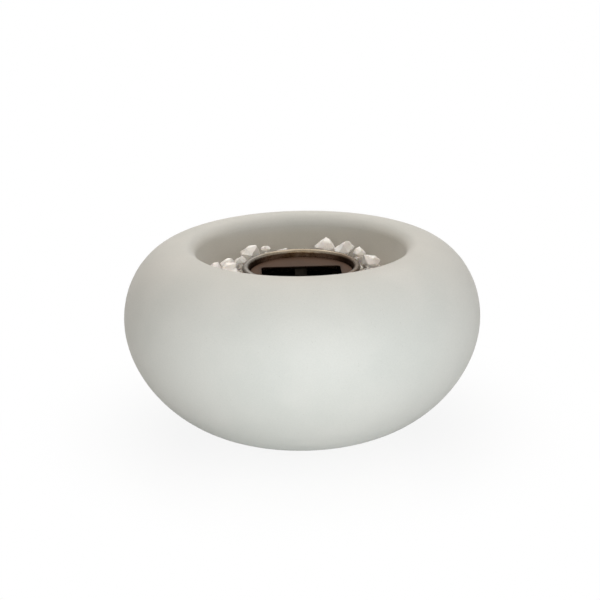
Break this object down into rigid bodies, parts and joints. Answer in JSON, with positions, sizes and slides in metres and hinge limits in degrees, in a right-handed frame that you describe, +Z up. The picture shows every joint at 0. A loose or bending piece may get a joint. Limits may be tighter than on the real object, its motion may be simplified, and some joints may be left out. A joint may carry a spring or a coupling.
{
  "type": "ceramic fire bowl",
  "caption": "Round tabletop fire bowl: a squat matte ceramic bowl with a rolled lip, a lift-out steel spirit burner with a slot mouth, and white marble chips round it",
  "frame": {"origin": "on the table, under the middle of the bowl", "axes": "+Z up, +X along the burner's mouth, -Y towards the viewer of the picture"},
  "size_m": [0.3, 0.3, 0.16],
  "materials": {
    "stoneware": "matte, silky, light warm grey",
    "burner_steel": "satin stainless, heat-tinted bronze",
    "cover_steel": "satin stainless, heat-tinted brown",
    "strap_steel": "sooty stainless strip",
    "gauze_steel": "sooty perforated sheet",
    "fibre": "charcoal-grey mineral wool",
    "marble": "broken white marble, matte with crystal sparkle",
    "pad_rubber": "matte black"
  },
  "bodies": {
    "bowl": {"ceramic_bowl": "stoneware", "foot_pad_1": "pad_rubber", "foot_pad_2": "pad_rubber", "foot_pad_3": "pad_rubber", "foot_pad_4": "pad_rubber", "stone_bed_1": "marble", "stone_bed_2": "marble", "stone_bed_3": "marble", "stone_bed_4": "marble", "stone_bed_5": "marble", "stone_bed_6": "marble", "stone_bed_7": "marble", "stone_bed_8": "marble", "top_stone_01": "marble", "top_stone_02": "marble", "top_stone_03": "marble", "top_stone_04": "marble", "top_stone_05": "marble", "top_stone_06": "marble", "top_stone_07": "marble", "top_stone_08": "marble", "top_stone_09": "marble", "top_stone_10": "marble", "top_stone_11": "marble", "top_stone_12": "marble", "top_stone_13": "marble", "top_stone_14": "marble", "top_stone_15": "marble", "top_stone_16": "marble", "top_stone_17": "marble", "top_stone_18": "marble", "top_stone_19": "marble", "top_stone_20": "marble", "top_stone_21": "marble", "top_stone_22": "marble", "top_stone_23": "marble", "top_stone_24": "marble", "top_stone_25": "marble", "top_stone_26": "marble", "top_stone_27": "marble", "top_stone_28": "marble", "top_stone_29": "marble", "top_stone_30": "marble", "top_stone_31": "marble", "top_stone_32": "marble"},
    "burner": {"burner_cup": "burner_steel", "cover_plate": "cover_steel", "cross_strap": "strap_steel", "wick_gauze": "gauze_steel", "fibre_wick": "fibre"}
  },
  "joints": [
    {"name": "burner_lift", "type": "slide", "parent": "bowl", "child": "burner", "axis": [0, 0, 1], "range_m": [0, 0.1]}
  ]
}
